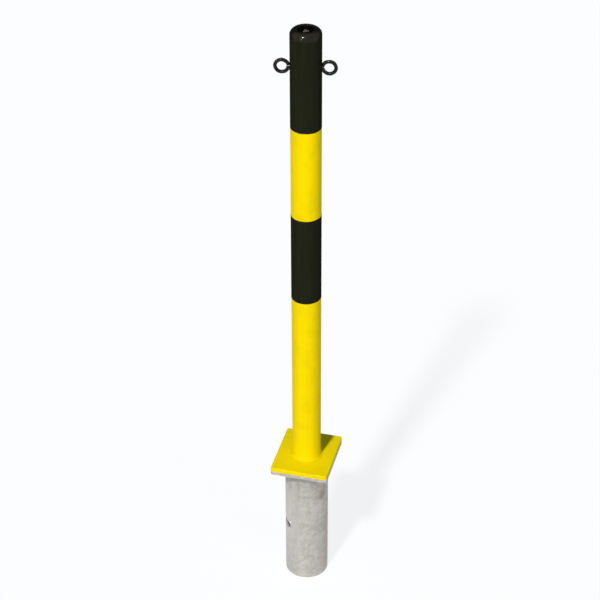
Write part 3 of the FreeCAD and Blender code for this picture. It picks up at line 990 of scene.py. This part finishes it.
@dataclass
class PaintedBand:
    """A coat of black round the tube, masked off at both edges."""

    name: str
    node: str
    seed: int
    tuck_mm: float
    edge_wander_mm: float = 0.22
    edge_waves: tuple[int, int] = (2, 14)
    ridge_mm: float = 0.08
    ridge_width_mm: float = 0.9
    ridge_steps: tuple[float, float, float] = (0.3, 0.6, 1.6)
    shoulder_drop_mm: float = 0.02
    edge_drop_mm: float = 0.12
    buried_mm: float = 0.4
    columns: int = 384

    def build(self) -> bpy.types.Object:
        """Builds the coat as a closed ring over the tube.

        Its section goes up the outside and back down inside the tube's wall. Along each edge the coat
        gathered against the masking in a low rounded ridge, whose crest lies at the solid's own radius, and
        the face between lies ridge_mm below it. The ridge's shoulder, crest and foot lie ridge_steps times
        its width from the edge. Each edge's height follows an uneven line round the turn, except that a top
        edge with a tuck runs level, that far up against the head.

        Returns:
            The coat.
        """
        low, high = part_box(self.node)
        radius = (high.x - low.x) / 2 / MM
        turn = np.linspace(0, FULL_TURN, self.columns, endpoint=False)
        bottom = low.z / MM + self.edge_wander_mm * waves(turn, *self.edge_waves, self.seed)
        top = high.z / MM + self.edge_wander_mm * waves(turn, *self.edge_waves, self.seed + 1)
        if self.tuck_mm:
            top = np.full_like(turn, high.z / MM + self.tuck_mm)
        face = radius - self.ridge_mm
        buried, edge = face - self.buried_mm, face - self.edge_drop_mm
        shoulder = radius - self.shoulder_drop_mm
        to_shoulder, to_crest, to_face = (step * self.ridge_width_mm for step in self.ridge_steps)
        section = (
            (buried, bottom),
            (edge, bottom),
            (shoulder, bottom + to_shoulder),
            (radius, bottom + to_crest),
            (face, bottom + to_face),
            (face, (bottom + top) / 2),
            (face, top - to_face),
            (radius, top - to_crest),
            (shoulder, top - to_shoulder),
            (edge, top),
            (buried, top),
        )
        rows = [around_axis(np.full_like(turn, reach), height, turn) for reach, height in section]
        return surface(self.name, np.stack(rows), closed_rows=True, crease_deg=40)


@dataclass
class ChainEye:
    """An open ring of bent round wire, coated black, with the bead that holds its lower end."""

    side: str
    azimuth_deg: float
    seed: int
    inset_mm: float
    level_mm: float = field(init=False)
    reach_mm: float = field(init=False)
    ring_radius_mm: float = 12.4
    wire_radius_mm: float = 3.5
    raise_mm: float = 0.8
    lower_end_deg: float = 4.0
    upper_end_deg: float = 11.0
    end_round_mm: float = 0.6
    spring_mm: float = 0.35
    bend_uneven_mm: float = 0.12
    bend_waves: int = 5
    dents: float = 0.01
    dent_waves: int = 9
    drawing_marks: float = 0.004
    drawing_waves: int = 23
    rows: int = 220
    columns: int = 40
    bead_reach_mm: float = 30.8
    bead_drop_mm: float = 3.6
    bead_size_mm: tuple[float, float, float] = (3.4, 4.6, 3.6)

    def __post_init__(self) -> None:
        """Takes the ring's level and reach from its solid."""
        low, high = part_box(f"{self.side}_chain_eye")
        self.level_mm = (low.z + high.z) / 2 / MM + self.raise_mm
        turn = radians(self.azimuth_deg)
        outer = max(abs(low.x), abs(high.x)) / MM
        self.reach_mm = (outer - self.wire_radius_mm) / abs(cos(turn)) - self.ring_radius_mm - self.inset_mm

    def ring(self) -> bpy.types.Object:
        """Builds the wire.

        Its middle line is c + R (cos f, sin f) in the upright plane through the post's axis, with f from
        just below the line to the post, round the outside, to just above it. R grows by the spring
        towards the free end and wavers by a sine, and the section is a circle in the plane of the line's
        normal, which two sines dent a little. At each end its radius shrinks along a quarter round.

        Returns:
            The ring.
        """
        f = np.linspace(radians(self.lower_end_deg - 180), radians(180 - self.upper_end_deg), self.rows)
        share = np.linspace(0, 1, self.rows)
        waver = self.bend_uneven_mm * np.sin(self.bend_waves * f + self.seed)
        bend = self.ring_radius_mm + self.spring_mm * share**3 + waver
        length = bend.mean() * (f[-1] - f[0])
        to_end = np.minimum(share, 1 - share) * length
        quarter = np.clip(1 - to_end / self.end_round_mm, 0, 1)
        shrink = self.end_round_mm * (1 - np.sqrt(1 - quarter**2))
        marks = self.drawing_marks * np.sin(self.drawing_waves * f)
        dents = self.dents * np.sin(self.dent_waves * f + 1)
        wire = self.wire_radius_mm * (1 + marks + dents) - shrink
        turn = np.linspace(0, FULL_TURN, self.columns, endpoint=False)[None, :]
        out = (bend[:, None] + wire[:, None] * np.cos(turn)) * np.cos(f)[:, None]
        up = (bend[:, None] + wire[:, None] * np.cos(turn)) * np.sin(f)[:, None]
        side = wire[:, None] * np.sin(turn)
        grid = turned(self.reach_mm + out, side, self.level_mm + up, self.azimuth_deg)
        return surface(f"{self.side}_eye_ring", grid, closed_rows=False, crease_deg=40)

    def build(self, coat: bpy.types.Material, bead_coat: bpy.types.Material) -> None:
        """Builds the ring and its bead.

        Args:
            coat: The wire's finish.
            bead_coat: The bead's finish.
        """
        settle(self.ring(), Body.POST, Slot.BLACK, coat, f"{self.side}_chain_eye")
        centre = beside_post(self.azimuth_deg, self.bead_reach_mm, self.level_mm - self.bead_drop_mm)
        bead = Lump(f"{self.side}_eye_bead", centre, self.azimuth_deg, *self.bead_size_mm, seed=self.seed)
        settle(bead.build(), Body.POST, Slot.BLACK, bead_coat, f"{self.side}_eye_weld")


@dataclass
class Post:
    """The post: base plate, tube, head, black bands, chain eyes and the weld at its foot."""

    eye_azimuth_deg: float = 8.8
    plate_leg_mm: float = 8.5
    tube_leg_mm: float = 8.0
    coat_starts_mm: float = 2.0
    tube_radius_mm: float = field(init=False)
    plate_top_mm: float = field(init=False)
    plate_bottom_mm: float = field(init=False)

    def __post_init__(self) -> None:
        """Takes the tube's radius and the plate's levels from the solids."""
        low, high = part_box("post_tube")
        self.tube_radius_mm = (high.x - low.x) / 2 / MM
        low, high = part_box("base_plate")
        self.plate_bottom_mm, self.plate_top_mm = low.z / MM, high.z / MM

    def build(self) -> None:
        """Builds the post's new pieces and dresses its solids."""
        black, bead_coat = BLACK_COAT.material(), BEAD_COAT.material()
        level = self.plate_bottom_mm + self.coat_starts_mm
        tube = CoatedAbove("yellow coat over a bare spigot", YELLOW_COAT, ZINC, level)
        dress(("base_plate",), YELLOW_COAT.material())
        dress(("post_tube",), tube.material())
        dress(("head_cap", "spindle_bush"), HEAD_COAT.material())
        dress(("foot_bush",), ZINC.material())
        weld = WeldBead(
            "post_weld_bead",
            self.tube_radius_mm,
            self.plate_top_mm,
            side=1,
            plate_leg_mm=self.plate_leg_mm,
            tube_leg_mm=self.tube_leg_mm,
            seed=21,
            hollow=1.3,
            crown_mm=0.0,
            ripple_depth_mm=0.12,
            wander=0.06,
            swell=0.55,
            pits=(Pit(355.0, 0.86, 1.3, 1.0), Pit(342.0, 0.68, 1.1, 0.8), Pit(348.0, 0.75, 0.8, 0.5)),
        )
        settle(weld.build(), Body.POST, Slot.YELLOW, WELD_COAT_WITH_PAINTED_SHADE.material(), "base_weld")
        for name, seed, tuck in (("lower", 31, 0.0), ("upper", 41, 0.3)):
            band = PaintedBand(f"{name}_band_coat", f"{name}_black_band", seed, tuck)
            settle(band.build(), Body.POST, Slot.BLACK, black, band.node)
        wire = EYE_COAT.material()
        for side, turn, seed, inset in (("right", 0.0, 3, 1.1), ("left", 180.0, 7, -0.4)):
            ChainEye(side, self.eye_azimuth_deg + turn, seed, inset).build(wire, bead_coat)


@dataclass
class Lock:
    """The triangular stud, its rod and the tongue under the flange."""

    nodes: tuple[str, ...] = (
        "key_stud",
        "stop_collar",
        "collar_pin",
        "lock_rod",
        "latch_tongue",
        "tongue_pin",
    )

    def build(self) -> None:
        """Dresses the lock's solids."""
        dress(self.nodes, STEEL.material())


@dataclass(frozen=True)
class Lamp:
    """A far lamp or soft box, so that its light is even over the post's height.

    Its strength is what falls on a surface that faces it, in watts per square metre.
    """

    name: str
    left_of_camera_deg: float
    elevation_deg: float
    strength: float
    spread_deg: float
    colour: str = "ffffff"

    def towards(self, heading_deg: float) -> Vector:
        """The direction from the object to the lamp, for a camera with that heading."""
        turn, rise = radians(heading_deg - self.left_of_camera_deg), radians(self.elevation_deg)
        return Vector((sin(turn) * cos(rise), -cos(turn) * cos(rise), sin(rise)))

    def radiance(self) -> float:
        """The lamp's own brightness: its strength over the solid angle 2 pi (1 - cos(spread / 2))."""
        return self.strength / (FULL_TURN * (1 - cos(radians(self.spread_deg / 2))))


@dataclass
class Studio:
    """A white floor, a white surround, the lamps and the camera."""

    camera_mm: tuple[float, float, float] = (780.9, -3010.8, 2871.0)
    heading_deg: float = 14.776
    tilt_deg: float = 34.729
    roll_deg: float = -0.246
    lens_mm: float = 112.637
    sensor_mm: float = 36.0
    floor_size: float = 30.0
    floor_colour: str = "b4aaa2"
    shadow_share: float = 0.15
    surround_colour: str = "74b4e0"
    surround: float = 0.19
    box_core: float = 0.4
    box_rim: float = 0.6
    lamps: tuple[Lamp, ...] = (
        Lamp("key lamp", 26.0, 50.0, 2.84, 5.0),
        Lamp("low lamp", 34.0, 3.0, 0.42, 3.0),
    )
    soft_boxes: tuple[Lamp, ...] = (
        Lamp("fill box", -40.0, 4.0, 1.6, 40.0),
        Lamp("left box", 58.0, 4.0, 0.42, 40.0),
        Lamp("rim box", 90.0, 4.0, 0.2, 40.0),
        Lamp("back box", 178.0, 3.5, 1.7, 14.0, "bcd2e0"),
    )

    def build(self) -> None:
        """Builds the studio."""
        self.build_floor()
        self.build_surround()
        for lamp in self.lamps:
            self.build_lamp(lamp)
        self.build_camera()
        bpy.context.scene.view_settings.view_transform = "Standard"

    def build_floor(self) -> None:
        """Lays a flat white floor that shows white to the camera and keeps part of the shadow."""
        half = self.floor_size / 2
        corners = [(-half, -half, 0), (half, -half, 0), (half, half, 0), (-half, half, 0)]
        mesh = bpy.data.meshes.new("studio_floor")
        mesh.from_pydata(corners, [], [(0, 1, 2, 3)])
        floor = bpy.data.objects.new("studio_floor", mesh)
        bpy.context.scene.collection.objects.link(floor)
        material, tree, _ = new_material("white studio floor")
        lit = add_node(tree, "ShaderNodeBsdfDiffuse", {}, {"Color": linear(self.floor_colour)})
        white = add_node(tree, "ShaderNodeEmission", {}, {"Strength": 1.0})
        shaded = add_node(tree, "ShaderNodeBsdfDiffuse", {}, {"Color": linear("ffffff")})
        pale = add_node(
            tree,
            "ShaderNodeMixShader",
            {},
            {0: self.shadow_share, 1: white.outputs["Emission"], 2: shaded.outputs["BSDF"]},
        )
        both = add_node(
            tree,
            "ShaderNodeMixShader",
            {},
            {0: self.seen(tree), 1: lit.outputs["BSDF"], 2: pale.outputs["Shader"]},
        )
        add_node(tree, "ShaderNodeOutputMaterial", {}, {"Surface": both.outputs["Shader"]})
        mesh.materials.append(material)

    @staticmethod
    def seen(tree: bpy.types.NodeTree) -> bpy.types.NodeSocket:
        """Adds a switch for what the camera sees, straight, mirrored or through glass.

        Args:
            tree: The node tree that it goes into.

        Returns:
            The switch: 1 for what the camera sees, otherwise 0.
        """
        ray = add_node(tree, "ShaderNodeLightPath", {}, {}).outputs
        seen = ray["Is Camera Ray"]
        for kind in ("Is Glossy Ray", "Is Transmission Ray"):
            either = {0: seen, 1: ray[kind]}
            seen = add_node(tree, "ShaderNodeMath", {"operation": "MAXIMUM"}, either).outputs["Value"]
        return seen

    def build_surround(self) -> None:
        """Surrounds the object with soft light, and with white where the camera looks past the floor.

        Each soft box is a disc of light in the surround, with a soft edge. What is mirrored is the white,
        not the boxes.
        """
        world = bpy.data.worlds.new("studio surround")
        world.use_nodes = True
        tree = world.node_tree
        tree.nodes.clear()
        place = add_node(tree, "ShaderNodeTexCoord", {}, {}).outputs["Generated"]
        soft = add_node(
            tree,
            "ShaderNodeBackground",
            {},
            {"Color": linear(self.surround_colour), "Strength": self.surround},
        ).outputs["Background"]
        for box in self.soft_boxes:
            light = self.box_light(tree, place, box)
            soft = add_node(tree, "ShaderNodeAddShader", {}, {0: soft, 1: light}).outputs["Shader"]
        white = add_node(tree, "ShaderNodeBackground", {}, {"Color": linear("ffffff"), "Strength": 1.0})
        both = add_node(
            tree,
            "ShaderNodeMixShader",
            {},
            {0: self.seen(tree), 1: soft, 2: white.outputs["Background"]},
        )
        add_node(tree, "ShaderNodeOutputWorld", {}, {"Surface": both.outputs["Shader"]})
        bpy.context.scene.world = world

    def box_light(
        self, tree: bpy.types.NodeTree, place: bpy.types.NodeSocket, box: Lamp
    ) -> bpy.types.NodeSocket:
        """Adds the light of one soft box to the surround.

        Args:
            tree: The surround's node tree.
            place: The direction that is lit.
            box: The soft box.

        Returns:
            Its light.
        """
        apart = {0: place, 1: box.towards(self.heading_deg)}
        facing = add_node(tree, "ShaderNodeVectorMath", {"operation": "DOT_PRODUCT"}, apart).outputs["Value"]
        rim, core = (cos(radians(box.spread_deg * share)) for share in (self.box_rim, self.box_core))
        disc = add_node(
            tree,
            "ShaderNodeMapRange",
            {"interpolation_type": "SMOOTHSTEP"},
            {"Value": facing, "From Min": rim, "From Max": core, "To Max": box.radiance()},
        ).outputs["Result"]
        light = {"Color": linear(box.colour), "Strength": disc}
        return add_node(tree, "ShaderNodeBackground", {}, light).outputs["Background"]

    def build_lamp(self, lamp: Lamp) -> None:
        """Hangs one lamp, turned so that it shines from its own direction.

        Args:
            lamp: The lamp.
        """
        data = bpy.data.lights.new(lamp.name, "SUN")
        data.energy = lamp.strength
        data.color = linear(lamp.colour)[:3]
        data.angle = radians(lamp.spread_deg)
        obj = bpy.data.objects.new(lamp.name, data)
        obj.matrix_world = lamp.towards(self.heading_deg).to_track_quat("Z", "Y").to_matrix().to_4x4()
        bpy.context.scene.collection.objects.link(obj)

    def build_camera(self) -> None:
        """Sets up the camera that the photo was matched with."""
        data = bpy.data.cameras.new("camera")
        data.lens = self.lens_mm
        data.sensor_width = self.sensor_mm
        camera = bpy.data.objects.new("camera", data)
        camera.matrix_world = (
            Matrix.Translation(Vector(self.camera_mm) * MM)
            @ Matrix.Rotation(radians(self.heading_deg), 4, "Z")
            @ Matrix.Rotation(radians(90 - self.tilt_deg), 4, "X")
            @ Matrix.Rotation(radians(self.roll_deg), 4, "Z")
        )
        bpy.context.scene.collection.objects.link(camera)
        bpy.context.scene.camera = camera


def main() -> None:
    """Builds the studio and every sub-assembly of the bollard."""
    logging.basicConfig(level=logging.INFO, format="%(name)s: %(message)s")
    for assembly in (Studio(), GroundSocket(), Post(), Lock()):
        log.info("building %s", type(assembly).__name__)
        assembly.build()


if __name__ == "__main__":
    main()
